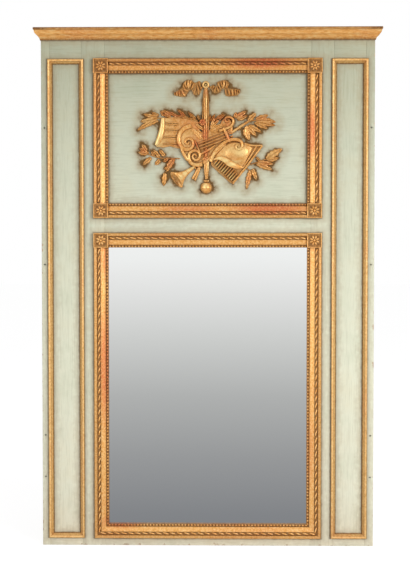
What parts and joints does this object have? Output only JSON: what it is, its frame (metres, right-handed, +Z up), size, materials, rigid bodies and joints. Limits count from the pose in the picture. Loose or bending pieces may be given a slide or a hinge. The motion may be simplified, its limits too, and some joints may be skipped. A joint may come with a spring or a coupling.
{
  "type": "trumeau mirror",
  "caption": "Tall painted overmantel panel with gilt mouldings, a carved musical trophy in its upper panel and a mirror glass below, hung from D-rings.",
  "frame": {"origin": "foot of the wall plane, in the middle of the width: X = 0 middle, Y = 0 wall, Z = 0 foot", "axes": "+Z up, the front faces -Y, +X to the right of someone who looks at the front"},
  "size_m": [1.074, 0.077, 1.607],
  "materials": {
    "painted_wood": "grey-green distemper paint, matt, rubbed and brushed",
    "gilt_wood": "water gilding over red bole, rubbed on the high edges",
    "raw_pine": "bare aged pine, sawn",
    "mirror_glass": "silvered plate glass, polished",
    "forged_iron": "dark, lightly rusted iron"
  },
  "bodies": {
    "panel": {"bottom_rail": "painted_wood", "cornice_front": "gilt_wood", "cornice_return_left": "gilt_wood", "cornice_return_right": "gilt_wood", "glass_blocks": "raw_pine", "hanger_strap_left": "forged_iron", "hanger_strap_right": "forged_iron", "hanging_batten": "raw_pine", "inner_stile_left": "painted_wood", "inner_stile_right": "painted_wood", "left_panel_moulding_bottom": "gilt_wood", "left_panel_moulding_left": "gilt_wood", "left_panel_moulding_right": "gilt_wood", "left_panel_moulding_top": "gilt_wood", "middle_batten": "raw_pine", "middle_rail": "painted_wood", "mirror_backboard": "raw_pine", "mirror_corner_left": "gilt_wood", "mirror_corner_right": "gilt_wood", "mirror_glass": "mirror_glass", "mirror_moulding_bottom": "gilt_wood", "mirror_moulding_left": "gilt_wood", "mirror_moulding_right": "gilt_wood", "mirror_moulding_top": "gilt_wood", "nails": "forged_iron", "outer_stile_left": "painted_wood", "outer_stile_right": "painted_wood", "right_panel_moulding_bottom": "gilt_wood", "right_panel_moulding_left": "gilt_wood", "right_panel_moulding_right": "gilt_wood", "right_panel_moulding_top": "gilt_wood", "screws": "forged_iron", "short_rail_bottom_left": "painted_wood", "short_rail_bottom_right": "painted_wood", "short_rail_top_left": "painted_wood", "short_rail_top_right": "painted_wood", "side_board_left": "painted_wood", "side_board_right": "painted_wood", "side_panel_left": "painted_wood", "side_panel_right": "painted_wood", "top_board": "raw_pine", "top_rail": "painted_wood", "trophy_corner_bottom_left": "gilt_wood", "trophy_corner_bottom_right": "gilt_wood", "trophy_corner_top_left": "gilt_wood", "trophy_corner_top_right": "gilt_wood", "trophy_horn": "gilt_wood", "trophy_leaves": "gilt_wood", "trophy_lyre": "gilt_wood", "trophy_moulding_bottom": "gilt_wood", "trophy_moulding_left": "gilt_wood", "trophy_moulding_right": "gilt_wood", "trophy_moulding_top": "gilt_wood", "trophy_music_sheet": "gilt_wood", "trophy_pan_pipe": "gilt_wood", "trophy_panel": "painted_wood", "trophy_ribbon": "gilt_wood", "trophy_strap": "gilt_wood"},
    "ring_left": {"d_ring_left": "forged_iron"},
    "ring_right": {"d_ring_right": "forged_iron"}
  },
  "joints": [
    {"name": "ring_left_swing", "type": "hinge", "parent": "panel", "child": "ring_left", "pos_m": [-0.3545, -0.0104, 1.4485], "axis": [1, 0, 0], "range_deg": [0, 180]},
    {"name": "ring_right_swing", "type": "hinge", "parent": "panel", "child": "ring_right", "pos_m": [0.3545, -0.0104, 1.4485], "axis": [1, 0, 0], "range_deg": [0, 180]}
  ]
}
